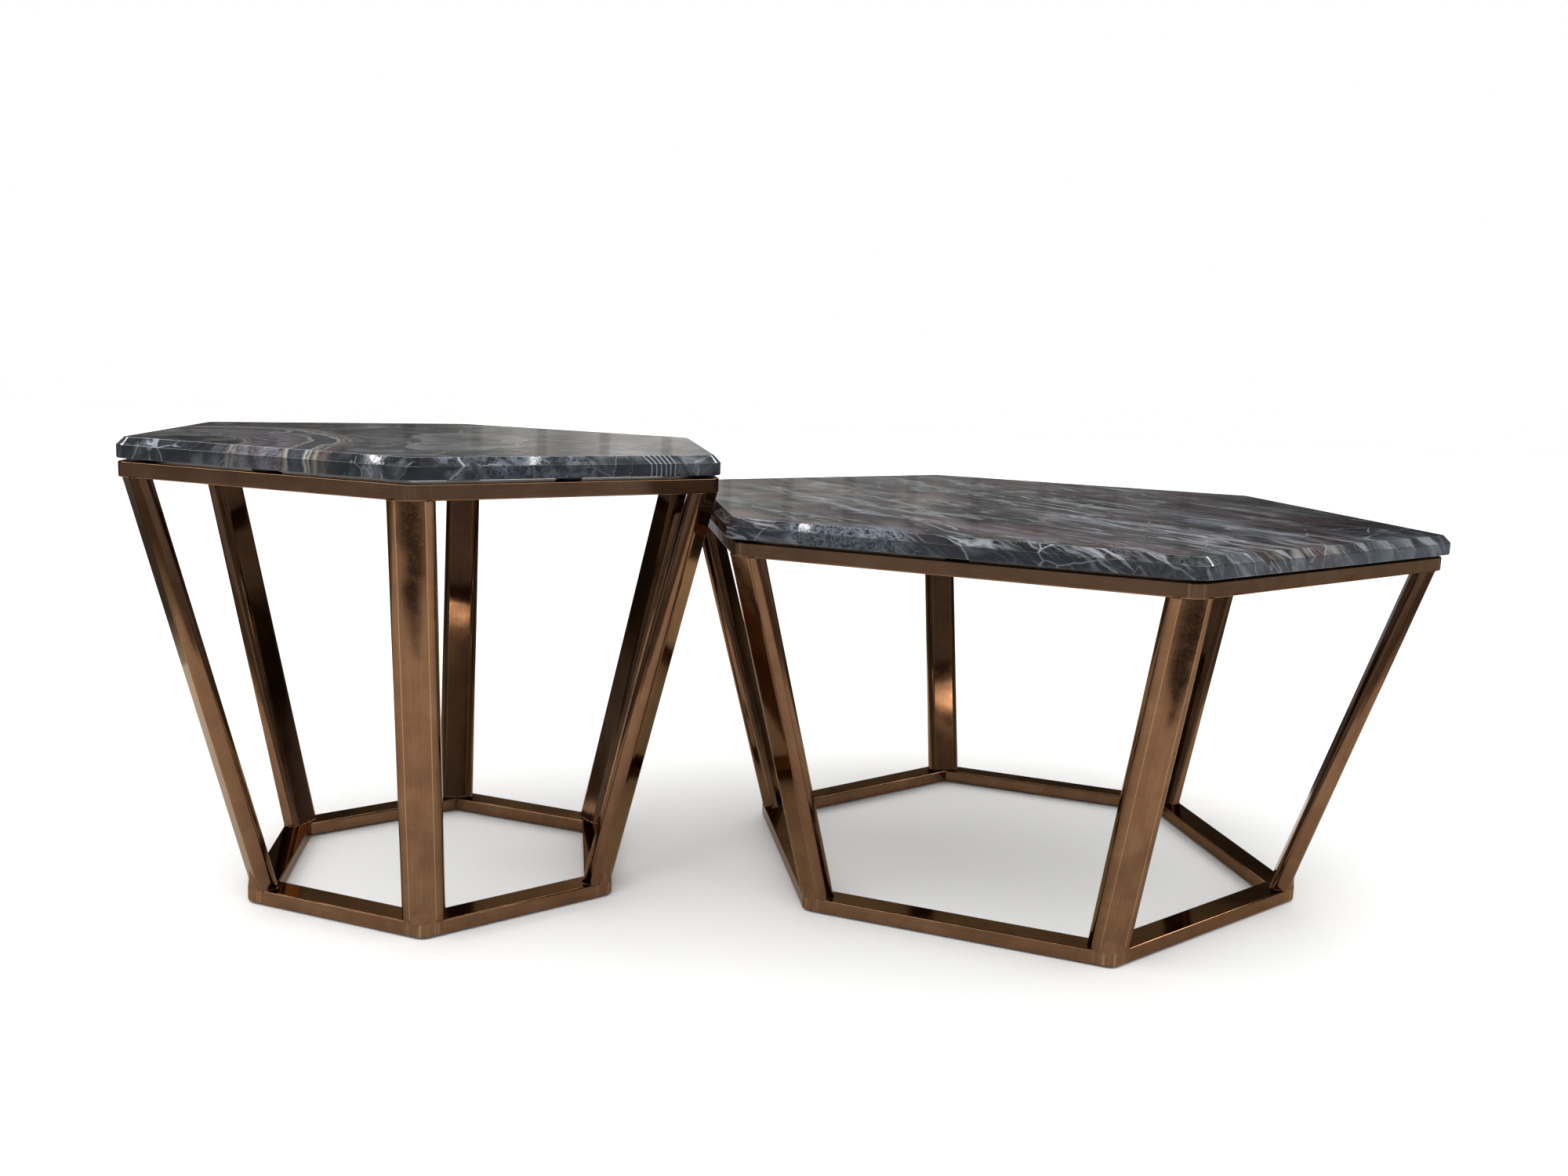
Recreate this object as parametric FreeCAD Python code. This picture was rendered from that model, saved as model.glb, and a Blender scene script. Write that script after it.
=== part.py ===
import FreeCAD, Part
import math
import os
from dataclasses import dataclass
from FreeCAD import Vector

# A pair of free-standing hexagonal side tables that stand edge to edge.
# Each table is a polished stone top on loose pads over a welded steel tube frame:
# a hexagonal ring under the top, six legs that lean inwards on their way down,
# and a smaller hexagonal ring that stands on felt glides.
# Millimetres, +Z up. X runs from the small table to the large one, and every
# hexagon has one corner towards -Y. The origin is on the floor, at the centre
# of the pair's outline.

# Rings of rectangular tube, mitred at the corners and ground smooth.
RAIL_WIDTH = 30.0
RAIL_HEIGHT = 15.0
RAIL_WALL = 2.0
RAIL_EDGE_RADIUS = 1.5
RING_CORNER_RADIUS = 14.0

# Legs of rounded flat tube, their broad face outwards.
LEG_WIDTH = 42.0
LEG_DEPTH = 20.0
LEG_WALL = 1.5
LEG_CORNER_RADIUS = 8.0
LEG_SETBACK = 8.0

# Stone tops with a bevelled upper edge.
STONE_THICKNESS = 20.0
STONE_BEVEL = 7.5
STONE_CORNER_RADIUS = 20.0
STONE_ARRIS_RADIUS = 1.0

# Square rubber pads under the stone, one at the middle of each top rail.
PAD_SIDE = 20.0
PAD_HEIGHT = 3.0

# Round felt glides under the corners of the base ring.
GLIDE_DIAMETER = 20.0
GLIDE_HEIGHT = 2.0

# Space between the edges of the two stone tops as the tables stand together.
TABLE_GAP = 1.0

SIDES = 6
SECTOR = 360.0 / SIDES
HALF_SECTOR_COS = math.cos(math.radians(SECTOR / 2))
CORNER_NAMES = ("front", "front_right", "back_right", "back", "back_left", "front_left")
SIDE_NAMES = ("front_right", "right", "back_right", "back_left", "left", "front_left")
FRONT_ANGLE = -90.0


@dataclass
class Table:
    name: str
    stone_radius: float      # centre to corner of the stone top, before rounding
    top_radius: float        # centre to corner of the ring under the stone
    base_radius: float       # centre to corner of the ring on the floor
    ring_top: float          # height of the upper face of the top ring
    centre_x: float = 0.0

    @property
    def base_ring_top(self):
        return GLIDE_HEIGHT + RAIL_HEIGHT

    @property
    def top_ring_bottom(self):
        return self.ring_top - RAIL_HEIGHT

    @property
    def stone_apothem(self):
        return self.stone_radius * HALF_SECTOR_COS


SMALL = Table("small", stone_radius=334.0, top_radius=332.0, base_radius=220.0, ring_top=465.0)
LARGE = Table("large", stone_radius=450.0, top_radius=442.0, base_radius=330.0, ring_top=408.0)


def place_tables():
    """Stand the tables edge to edge, with the middle of the pair at X = 0."""
    half_length = SMALL.stone_apothem + LARGE.stone_apothem + TABLE_GAP / 2
    SMALL.centre_x = SMALL.stone_apothem - half_length
    LARGE.centre_x = half_length - LARGE.stone_apothem


def polar(radius, angle, z=0.0):
    """Point at a radius and an angle in degrees about the table's own axis."""
    turn = math.radians(angle)
    return Vector(radius * math.cos(turn), radius * math.sin(turn), z)


def hexagon_outline(radius, corner_radius, z):
    """Hexagon with one corner at the front; its corners are arcs, or sharp."""
    if corner_radius == 0:
        corners = [polar(radius, FRONT_ANGLE + SECTOR * k, z) for k in range(SIDES + 1)]
        return Part.makePolygon(corners)
    arc_centre_radius = radius - corner_radius / HALF_SECTOR_COS
    arcs = []
    for k in range(SIDES):
        angle = FRONT_ANGLE + SECTOR * k
        centre = polar(arc_centre_radius, angle, z)
        start, middle, end = (centre + polar(corner_radius, angle + turn)
                              for turn in (-SECTOR / 2, 0.0, SECTOR / 2))
        arcs.append(Part.Arc(start, middle, end).toShape())
    edges = []
    for arc, following in zip(arcs, arcs[1:] + arcs[:1]):
        gap = Part.LineSegment(arc.Vertexes[-1].Point, following.Vertexes[0].Point)
        edges += [arc, gap.toShape()]
    return Part.Wire(edges)


def hexagon_prism(radius, corner_radius, z, height):
    face = Part.Face(hexagon_outline(radius, corner_radius, z))
    return face.extrude(Vector(0, 0, height))


def edges_at(shape, *heights):
    """The edges that lie flat at one of the given heights."""
    def lies_at(edge, z):
        box = edge.BoundBox
        return abs(box.ZMin - z) < 1e-6 and abs(box.ZMax - z) < 1e-6
    return [edge for edge in shape.Edges if any(lies_at(edge, z) for z in heights)]


def upright_edges(shape):
    return [edge for edge in shape.Edges if edge.BoundBox.ZLength > 1e-3]


def inset_radius(radius, inset):
    """Corner radius of the hexagon whose sides lie an inset further in."""
    return radius - inset / HALF_SECTOR_COS


def make_ring(radius, z):
    """Closed ring of hollow rectangular tube, its lower face at z."""
    outer = hexagon_prism(radius, RING_CORNER_RADIUS, z, RAIL_HEIGHT)
    inner = hexagon_prism(inset_radius(radius, RAIL_WIDTH), 0, z, RAIL_HEIGHT)
    ring = outer.cut(inner)
    ring = ring.makeFillet(RAIL_EDGE_RADIUS, edges_at(ring, z, z + RAIL_HEIGHT))
    bore_z = z + RAIL_WALL
    bore_height = RAIL_HEIGHT - 2 * RAIL_WALL
    bore_outer = hexagon_prism(inset_radius(radius, RAIL_WALL),
                               RING_CORNER_RADIUS - RAIL_WALL, bore_z, bore_height)
    bore_inner = hexagon_prism(inset_radius(radius, RAIL_WIDTH - RAIL_WALL), 0,
                               bore_z, bore_height)
    return ring.cut(bore_outer.cut(bore_inner))


def make_rails(table, radius, z, place):
    """The six mitred rails of one ring, each running from corner to corner."""
    reach = 2 * radius
    corners = [Vector(0, 0, z), polar(reach, FRONT_ANGLE, z), polar(reach, FRONT_ANGLE + SECTOR, z)]
    wedge = Part.Face(Part.makePolygon(corners + corners[:1])).extrude(Vector(0, 0, RAIL_HEIGHT))
    first = make_ring(radius, z).common(wedge).Solids[0]
    return {f"{table.name}_{place}_rail_{side}": turned(first, k)
            for k, side in enumerate(SIDE_NAMES)}


def turned(shape, k):
    """Copy of a shape, turned by k sixths of a turn about the table's axis."""
    copy = shape.copy()
    copy.rotate(Vector(0, 0, 0), Vector(0, 0, 1), SECTOR * k)
    return copy


def rounded_bar(width, depth, corner_radius, face_y, z, length):
    """Upright bar of rounded rectangular section, its front face at face_y."""
    bar = Part.makeBox(width, depth, length, Vector(-width / 2, face_y, z))
    return bar.makeFillet(corner_radius, upright_edges(bar))


def make_legs(table):
    """Six leaning tubes, cut level where they meet the two rings."""
    foot_y = -(table.base_radius - LEG_SETBACK)
    rise = table.top_ring_bottom - table.base_ring_top
    lean = math.degrees(math.atan2(table.top_radius - table.base_radius, rise))
    start = table.base_ring_top - rise / 2
    length = 2 * rise
    outside = rounded_bar(LEG_WIDTH, LEG_DEPTH, LEG_CORNER_RADIUS, foot_y, start, length)
    inside = rounded_bar(LEG_WIDTH - 2 * LEG_WALL, LEG_DEPTH - 2 * LEG_WALL,
                         LEG_CORNER_RADIUS - LEG_WALL, foot_y + LEG_WALL, start, length)
    tube = outside.cut(inside)
    tube.rotate(Vector(0, foot_y, table.base_ring_top), Vector(1, 0, 0), lean)
    reach = 2 * table.top_radius
    level = Part.makeBox(2 * reach, 2 * reach, rise,
                         Vector(-reach, -reach, table.base_ring_top))
    first = tube.common(level).Solids[0]
    return {f"{table.name}_leg_{corner}": turned(first, k)
            for k, corner in enumerate(CORNER_NAMES)}


def make_stone_top(table):
    """Hexagonal slab with rounded corners, a bevelled top edge and eased arrises."""
    bottom = table.ring_top + PAD_HEIGHT
    top = bottom + STONE_THICKNESS
    slab = hexagon_prism(table.stone_radius, STONE_CORNER_RADIUS, bottom, STONE_THICKNESS)
    slab = slab.makeChamfer(STONE_BEVEL, edges_at(slab, top))
    slab = slab.makeFillet(STONE_ARRIS_RADIUS, edges_at(slab, bottom, top - STONE_BEVEL, top))
    return {f"{table.name}_stone_top": slab.Solids[0]}


def make_pads(table):
    """Six pads on the top ring, one at the middle of each rail."""
    middle = table.top_radius * HALF_SECTOR_COS - RAIL_WIDTH / 2
    first = Part.makeBox(PAD_SIDE, PAD_SIDE, PAD_HEIGHT,
                         Vector(middle - PAD_SIDE / 2, -PAD_SIDE / 2, table.ring_top))
    pads = [turned(first, k) for k in range(SIDES)]
    return {f"{table.name}_top_pads": Part.makeCompound(pads)}


def make_glides(table):
    """Six discs under the base ring, one below the middle of the tube at each corner."""
    spread = inset_radius(table.base_radius, RAIL_WIDTH / 2)
    glides = [Part.makeCylinder(GLIDE_DIAMETER / 2, GLIDE_HEIGHT,
                                polar(spread, FRONT_ANGLE + SECTOR * k))
              for k in range(SIDES)]
    return {f"{table.name}_floor_glides": Part.makeCompound(glides)}


def make_table(table):
    """Every piece of one table, standing where the table stands."""
    pieces = {}
    pieces.update(make_stone_top(table))
    pieces.update(make_pads(table))
    pieces.update(make_rails(table, table.top_radius, table.top_ring_bottom, "top"))
    pieces.update(make_legs(table))
    pieces.update(make_rails(table, table.base_radius, GLIDE_HEIGHT, "base"))
    pieces.update(make_glides(table))
    for shape in pieces.values():
        shape.translate(Vector(table.centre_x, 0, 0))
    return pieces


def main():
    os.makedirs("parts", exist_ok=True)
    place_tables()
    for table in (SMALL, LARGE):
        for node, shape in make_table(table).items():
            shape.exportStep(os.path.join("parts", node + ".step"))
            print(f"{node:32s} {len(shape.Solids)} solids, {shape.Volume / 1000:9.2f} cm3,"
                  f" valid {shape.isValid()}")


main()
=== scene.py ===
import math

import bmesh
import bpy
from mathutils import Matrix, Vector


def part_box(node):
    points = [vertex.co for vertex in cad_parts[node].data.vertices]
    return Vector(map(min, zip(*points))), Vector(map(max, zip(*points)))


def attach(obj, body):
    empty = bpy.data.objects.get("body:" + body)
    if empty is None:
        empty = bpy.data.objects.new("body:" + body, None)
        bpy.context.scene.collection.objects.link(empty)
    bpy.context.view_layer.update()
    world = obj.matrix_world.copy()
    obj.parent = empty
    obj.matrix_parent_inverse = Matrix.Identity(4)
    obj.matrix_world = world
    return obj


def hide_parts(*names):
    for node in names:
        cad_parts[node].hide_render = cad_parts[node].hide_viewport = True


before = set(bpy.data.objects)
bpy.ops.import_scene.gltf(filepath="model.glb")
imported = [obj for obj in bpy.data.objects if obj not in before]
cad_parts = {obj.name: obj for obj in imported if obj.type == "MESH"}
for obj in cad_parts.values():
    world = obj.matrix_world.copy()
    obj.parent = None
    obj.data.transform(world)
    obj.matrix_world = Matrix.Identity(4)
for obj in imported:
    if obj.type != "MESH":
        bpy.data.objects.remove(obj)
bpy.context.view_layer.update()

# Two hexagonal side tables that stand edge to edge. Each is a polished dark marble slab that
# lies on rubber pads over a welded frame of bronze-tinted stainless steel tube, and the frame
# stands on felt glides. Metres, Z up, the frame's own coordinates.

TABLES = ("small", "large")
CORNERS = ("front", "front_right", "back_right", "back", "back_left", "front_left")
SIDES = ("front_right", "right", "back_right", "back_left", "left", "front_left")
SECTOR = math.radians(60.0)
FRONT = math.radians(-90.0)
MM = 0.001

CAMERA_LENS = 31.47                     # on a 36 mm wide sensor
CAMERA_PLACE = (-0.256, -1.548, 0.5761)
CAMERA_TURN = math.radians(-9.208)
CAMERA_DIP = math.radians(9.034)
CAMERA_ROLL = math.radians(2.3985)

TENT_SIDES = 0.62                       # white light on matt faces from the tent's walls
TENT_ROOF = 2.10                        # and from its roof
LAMP_LIGHT = 15.0                       # ring of lamps that the eased edges of the pieces mirror
SECOND_LIGHT = 3.0                      # the same ring where a reflection mirrors another one
BOWL_REACH = (1.25, 1.10)               # half axes of the floor that polished steel mirrors white
WINDOW_PANE = 0.16                      # between the upright bars of the mirrored windows

# Bronze tint of the steel in cloudy patches, with painted shade over the legs' rounded corners and a
# painted highlight along their corner lines and on the cross-polished mitre ends.
BRONZE_PAINTED_SHADE = "#4f3a2b"
BRONZE_DARK = "#674b38"
BRONZE = "#71523b"
BRONZE_LIGHT = "#7a5c44"
BRONZE_PAINTED_HIGHLIGHT = "#ab8b66"
BRONZE_EDGE_ON = "#dbcebf"

LEFT_CARD = ((-0.432, -0.60, 0.003), (-0.482, -1.02, 0.003), 0.024)
RIGHT_CARD = ((0.452, -0.62, 0.003), (0.605, -0.93, 0.003), 0.024)
REAR_CARD = ((0.70, 0.30, 0.003), (1.15, 1.25, 0.003), 0.30)
LEFT_PANE = ((-0.56, -1.88, 1.02), 0.24, 0.055)
UPPER_PANE = ((0.97, -1.62, 0.97), 0.12, 0.050)
LOWER_PANE = ((0.95, -1.62, 0.80), 0.12, 0.040)
PANE_LIGHT = 11.0
KEY_PLACE = (-0.8, -1.2, 2.4)
KEY_SIZE = 1.2
KEY_POWER = 14.0
DOWNLIGHT_SIZE = 0.022                  # small and round, mirrored as sparkles by the bevels
DOWNLIGHT_POWER = 0.035
FAR_LEFT_DOWNLIGHT = (-1.716, 0.247, 2.3)
LEFT_DOWNLIGHT = (-0.73, -0.11, 2.3)
RIGHT_DOWNLIGHT = (0.648, 0.10, 2.3)
FLOOR_REACH = 12.0

LEG_FACE_HALF = 13.0 * MM               # half of the flat between a leg's rounded corners
LEG_CORNER = 8.0 * MM
RING_CORNER = 14.0 * MM
RING_EDGE = 1.5 * MM
PAD_SIDE = 20.0 * MM
PAD_TOOTH = 0.10 * MM                   # roughness of the moulded rubber
GLIDE_DIAMETER = 20.0 * MM
GLIDE_TOOTH = 0.22 * MM                 # roughness of the cut felt
BEAD_RADIUS = 0.5 * MM
FILLET_RISE = 20.0 * MM                 # height of the ground weld over a leg's foot
FILLET_REACH = 0.96                     # share of the ledge that the weld covers
FILLET_HOLLOW = 0.04                    # how far it dips, as a share of its own length
FILLET_STEPS = 24
FILLET_ROWS = 6
WELD_ROOT = 1.0 * MM                    # how deep the weld reaches into the leg
SMALL_RIM = 256.0                       # how far the undersides are pale before their painted shade rim, square to a side, in mm
LARGE_RIM = 352.0


# ---------------------------------------------------------------- small tools

def linear(colour):
    """Linear colour of an sRGB hex code or of a shade of grey; anything else stays as it is."""
    if isinstance(colour, float):
        return (colour, colour, colour, 1.0)
    if not isinstance(colour, str):
        return colour
    values = [int(colour[i:i + 2], 16) / 255.0 for i in (1, 3, 5)]
    return tuple(v / 12.92 if v <= 0.04045 else ((v + 0.055) / 1.055) ** 2.4 for v in values) + (1.0,)


def per_mm(size):
    """Texture scale that gives features of this size in millimetres."""
    return 1.0 / (size * MM)


def add(tree, kind, links=None, stops=None, **settings):
    """Add one node with its settings, its ramp's stops, and its inputs as values or links.

    A kind of node goes by its name without "ShaderNode", and a node given as an input stands for
    its first output.
    """
    family = "" if kind.startswith(("GeometryNode", "NodeGroup")) else "ShaderNode"
    node = tree.nodes.new(family + kind)
    for name, value in settings.items():
        setattr(node, name, value)
    if stops:
        ramp = node.color_ramp.elements
        ramp[0].position, ramp[1].position = stops[0][0], stops[-1][0]
        ramp[0].color, ramp[1].color = linear(stops[0][1]), linear(stops[-1][1])
        for position, colour in stops[1:-1]:
            ramp.new(position).color = linear(colour)
    for socket, value in (links or {}).items():
        if isinstance(value, bpy.types.Node):
            value = value.outputs[0]
        if isinstance(value, bpy.types.NodeSocket):
            tree.links.new(value, node.inputs[socket])
        else:
            node.inputs[socket].default_value = value
    return node


def new_material(name):
    material = bpy.data.materials.new(name)
    material.use_nodes = True
    material.node_tree.nodes.clear()
    return material, material.node_tree


def place_of(table):
    """Centre of a table's stone top, on the plane of its upper face."""
    low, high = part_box(table + "_stone_top")
    return Vector(((low.x + high.x) / 2, (low.y + high.y) / 2, high.z))


# ---------------------------------------------------------------- camera, light and floor

def make_camera():
    data = bpy.data.cameras.new("camera")
    data.lens = CAMERA_LENS
    data.sensor_width = 36.0
    camera = bpy.data.objects.new("camera", data)
    turn = Matrix.Rotation(CAMERA_TURN, 4, "Z")
    dip = Matrix.Rotation(math.pi / 2 - CAMERA_DIP, 4, "X")
    roll = Matrix.Rotation(CAMERA_ROLL, 4, "Z")
    camera.matrix_world = Matrix.Translation(CAMERA_PLACE) @ turn @ dip @ roll
    bpy.context.scene.collection.objects.link(camera)
    bpy.context.scene.camera = camera


def make_light(name, place, target, size, power, mirrored):
    """A round soft light; mirrored ones also show as small spots in polished faces."""
    data = bpy.data.lights.new(name, "AREA")
    data.shape = "DISK"
    data.size = size
    data.energy = power
    light = bpy.data.objects.new(name, data)
    light.location = place
    light.rotation_euler = (Vector(target) - Vector(place)).to_track_quat("-Z", "Y").to_euler()
    light.visible_camera = False
    light.visible_glossy = mirrored
    bpy.context.scene.collection.objects.link(light)


def make_world():
    """A white tent that lights evenly; polished faces mirror a grey room with a ring of lamps."""
    world = bpy.data.worlds.new("studio")
    world.use_nodes = True
    tree = world.node_tree
    tree.nodes.clear()
    direction = add(tree, "TexCoord")
    height = add(tree, "SeparateXYZ", {"Vector": direction.outputs["Generated"]})
    room = add(tree, "ValToRGB", {"Fac": height.outputs["Z"]},
        stops=[(0.0, 0.006), (0.56, 0.009), (0.59, 1.0), (0.64, 1.0), (0.665, 0.012), (0.79, 0.015),
        (0.84, 0.040), (0.92, 0.034), (0.94, 0.018), (1.0, 0.018)])
    tent = add(tree, "MapRange", {"Value": height.outputs["Z"], 3: TENT_SIDES, 4: TENT_ROOF})
    seen = add(tree, "LightPath")
    matt_light = add(tree, "Mix", {0: seen.outputs["Is Camera Ray"], 2: tent, 3: 1.0},
        data_type="FLOAT")
    lamps = add(tree, "MapRange", {"Value": seen.outputs["Glossy Depth"], 1: 1.0, 2: 2.0, 3: LAMP_LIGHT,
        4: SECOND_LIGHT})
    power = add(tree, "Mix", {0: seen.outputs["Is Glossy Ray"], 2: matt_light, 3: lamps},
        data_type="FLOAT")
    colour = add(tree, "Mix", {0: seen.outputs["Is Glossy Ray"], 6: linear(1.0), 7: room},
        data_type="RGBA")
    shade = add(tree, "Background", {"Color": colour.outputs[2], "Strength": power})
    add(tree, "OutputWorld", {"Surface": shade.outputs["Background"]})
    bpy.context.scene.world = world


def make_floor():
    """Matt white studio floor with a faint paper tooth."""
    material, tree = new_material("matt_white_floor")
    coords = add(tree, "TexCoord").outputs["Object"]
    tooth = add(tree, "TexNoise", {"Vector": coords, "Scale": per_mm(4.0), "Detail": 3.0})
    tone = add(tree, "ValToRGB", {"Fac": tooth}, stops=[(0.3, "#ececeb"), (0.7, "#f0f0ef")])
    bump = add(tree, "Bump", {"Height": tooth, "Strength": 0.05, "Distance": 0.2 * MM})
    shade = add(tree, "BsdfPrincipled", {"Base Color": tone, "Roughness": 0.9, "Normal": bump})
    add(tree, "OutputMaterial", {"Surface": shade})
    mesh = bpy.data.meshes.new("floor")
    corners = [(-FLOOR_REACH, -FLOOR_REACH, 0), (FLOOR_REACH, -FLOOR_REACH, 0),
        (FLOOR_REACH, FLOOR_REACH, 0), (-FLOOR_REACH, FLOOR_REACH, 0)]
    mesh.from_pydata(corners, [], [(0, 1, 2, 3)])
    mesh.materials.append(material)
    floor = bpy.data.objects.new("floor", mesh)
    bpy.context.scene.collection.objects.link(floor)


def make_dark_surround():
    """A dim bowl around the white floor that shows only in reflections, as grey cards do.

    Its rim lies on the floor around the tables and its wall stands further out, so polished
    steel mirrors white floor near by and a dim room beyond. The wall behind the tables is
    lighter in the middle, with upright bars like those of a large window.
    """
    material, tree = new_material("grey_cards")
    coords = add(tree, "TexCoord").outputs["Object"]
    parts = add(tree, "SeparateXYZ", {"Vector": coords})
    rim = add(tree, "VectorMath", {0: coords, 1: (1 / BOWL_REACH[0], 1 / BOWL_REACH[1], 0.0)},
        operation="MULTIPLY")
    out = add(tree, "VectorMath", {0: rim}, operation="LENGTH")
    floor_tone = add(tree, "MapRange", {"Value": out.outputs["Value"], 1: 1.0, 2: 1.25, 3: 0.60,
        4: 0.0}, interpolation_type="SMOOTHSTEP")
    wall_tone = add(tree, "ValToRGB", {"Fac": parts.outputs["Z"]},
        stops=[(0.02, 0.30), (0.12, 0.74), (0.30, 0.68), (0.46, 0.05), (1.0, 0.09)])
    hue = add(tree, "ValToRGB", {"Fac": parts.outputs["Z"]}, stops=[(0.05, "#f4f1ec"),
        (0.13, "#dfe9fb"), (0.30, "#dfe9fb"), (0.50, "#f4f1ec")])
    across = add(tree, "MapRange", {"Value": parts.outputs["X"], 1: -2.0, 2: 3.0})
    window = add(tree, "ValToRGB", {"Fac": across}, stops=[(0.0, 0.02), (0.16, 0.05), (0.27, 0.16),
        (0.34, 0.45), (0.40, 0.49), (0.46, 0.19), (0.55, 0.16), (0.64, 0.09), (0.72, 0.01),
        (1.0, 0.02)])
    behind = add(tree, "MapRange", {"Value": parts.outputs["Y"], 1: 0.5, 2: 1.0})
    panes = add(tree, "Math", {0: parts.outputs["X"], 1: WINDOW_PANE / 2}, operation="PINGPONG")
    bars = add(tree, "MapRange", {"Value": panes, 1: 0.008, 2: 0.018, 3: 0.70, 4: 1.0})
    clouds = add(tree, "TexNoise", {"Vector": coords, "Scale": 2.2, "Detail": 2.0})
    shadows = add(tree, "MapRange", {"Value": clouds, 1: 0.42, 2: 0.58, 3: 0.45, 4: 1.0})
    front_wall = add(tree, "MapRange", {"Value": parts.outputs["Y"], 1: -0.5, 2: -1.0, 3: 0.0, 4: 0.20})
    upper_part = add(tree, "MapRange", {"Value": parts.outputs["Z"], 1: 0.40, 2: 0.55})
    towards_back = add(tree, "MapRange", {"Value": parts.outputs["Y"], 1: 0.1, 2: 0.6, 3: 1.0, 4: 0.35})
    lower_walls = add(tree, "Math", {0: wall_tone, 1: towards_back}, operation="MULTIPLY")
    front_and_lower = add(tree, "Math", {0: front_wall, 1: upper_part, 2: lower_walls},
        operation="MULTIPLY_ADD")
    back_wall = add(tree, "MapRange", {"Value": parts.outputs["Y"], 1: 0.1, 2: 0.6, 3: 0.0, 4: 0.22})
    near_top = add(tree, "MapRange", {"Value": parts.outputs["Z"], 1: 0.74, 2: 0.84})
    walls = add(tree, "Math", {0: back_wall, 1: near_top, 2: front_and_lower}, operation="MULTIPLY_ADD")
    tone = add(tree, "Math", {0: floor_tone, 1: walls}, operation="ADD")
    daylight = window
    for shade in (behind, bars, shadows):
        daylight = add(tree, "Math", {0: daylight, 1: shade}, operation="MULTIPLY")
    strength = add(tree, "Math", {0: daylight, 1: tone}, operation="ADD")
    glow = add(tree, "Emission", {"Color": hue, "Strength": strength})
    add(tree, "OutputMaterial", {"Surface": glow})
    profile = [(1.0, 0.002), (1.25, 0.002), (1.4, 0.002), (1.7, 0.01), (1.82, 0.1), (1.88, 1.1)]
    around = 72
    points = []
    for reach, height in profile:
        for k in range(around):
            turn = 2 * math.pi * k / around
            points.append((reach * BOWL_REACH[0] * math.cos(turn),
                reach * BOWL_REACH[1] * math.sin(turn), height))
    faces = []
    for row in range(len(profile) - 1):
        for k in range(around):
            following = (k + 1) % around
            faces.append((row * around + k, row * around + following, (row + 1) * around + following,
                (row + 1) * around + k))
    mirrored_only("grey_surround", points, faces, material)


def make_front_window(name, place, half_width, half_height):
    """A bright pane in front of the tables, mirrored by the faces of the rear legs."""
    material, tree = new_material(name)
    coords = add(tree, "TexCoord").outputs["Object"]
    local = add(tree, "Mapping", {"Vector": coords, "Location": place,
        "Scale": (half_width, 1.0, half_height)}, vector_type="TEXTURE")
    away = add(tree, "VectorMath", {0: local}, operation="LENGTH")
    soft = add(tree, "MapRange", {"Value": away.outputs["Value"], 1: 0.55, 2: 1.0, 3: PANE_LIGHT,
        4: 0.3}, interpolation_type="SMOOTHSTEP")
    seen = add(tree, "LightPath")
    first = add(tree, "MapRange", {"Value": seen.outputs["Glossy Depth"], 1: 1.0, 2: 2.0, 3: 1.0,
        4: 0.25})
    power = add(tree, "Math", {0: soft, 1: first}, operation="MULTIPLY")
    glow = add(tree, "Emission", {"Color": linear("#fff6ea"), "Strength": power})
    add(tree, "OutputMaterial", {"Surface": glow})
    x, y, z = place
    points = [(x - half_width, y, z - half_height), (x + half_width, y, z - half_height),
        (x + half_width, y, z + half_height), (x - half_width, y, z + half_height)]
    mirrored_only(name, points, [(0, 1, 2, 3)], material)


def make_floor_card(name, tip, far, half_width):
    """A dark wedge on the floor beside the tables, which polished steel mirrors as a tongue."""
    material, tree = new_material(name)
    coords = add(tree, "TexCoord").outputs["Object"]
    run = add(tree, "VectorMath", {0: coords, 1: tip}, operation="DISTANCE")
    fade = add(tree, "MapRange", {"Value": run.outputs["Value"], 1: 0.0, 2: 0.08, 3: 0.30, 4: 0.05})
    glow = add(tree, "Emission", {"Color": linear("#fff8f0"), "Strength": fade})
    add(tree, "OutputMaterial", {"Surface": glow})
    start, end = Vector(tip), Vector(far)
    across = (end - start).cross(Vector((0, 0, 1))).normalized() * half_width
    points = [start, start.lerp(end, 0.3) + across * 0.5, end + across, end - across,
        start.lerp(end, 0.3) - across * 0.5]
    mirrored_only(name, points, [(0, 1, 2, 3, 4)], material)


def mirrored_only(name, points, faces, material):
    """A studio card that only reflections show."""
    mesh = bpy.data.meshes.new(name)
    mesh.from_pydata(points, [], faces)
    mesh.materials.append(material)
    card = bpy.data.objects.new(name, mesh)
    card.visible_camera = False
    card.visible_diffuse = False
    card.visible_shadow = False
    card.visible_transmission = False
    bpy.context.scene.collection.objects.link(card)


def make_studio():
    make_camera()
    make_world()
    make_floor()
    make_dark_surround()
    make_floor_card("left_floor_card", *LEFT_CARD)
    make_floor_card("right_floor_card", *RIGHT_CARD)
    make_floor_card("rear_floor_card", *REAR_CARD)
    make_front_window("left_front_window", *LEFT_PANE)
    make_front_window("upper_front_window", *UPPER_PANE)
    make_front_window("lower_front_window", *LOWER_PANE)
    bpy.context.scene.view_settings.view_transform = "Standard"
    make_light("key", KEY_PLACE, (0.0, 0.0, 0.0), KEY_SIZE, KEY_POWER, False)
    for name, place, target in (("far_left_downlight", FAR_LEFT_DOWNLIGHT, (-0.4, -0.2, 0.0)),
            ("left_downlight", LEFT_DOWNLIGHT, (0.0, -0.2, 0.0)),
            ("right_downlight", RIGHT_DOWNLIGHT, (-0.2, -0.2, 0.0))):
        make_light(name, place, target, DOWNLIGHT_SIZE, DOWNLIGHT_POWER, True)


# ---------------------------------------------------------------- materials

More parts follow.
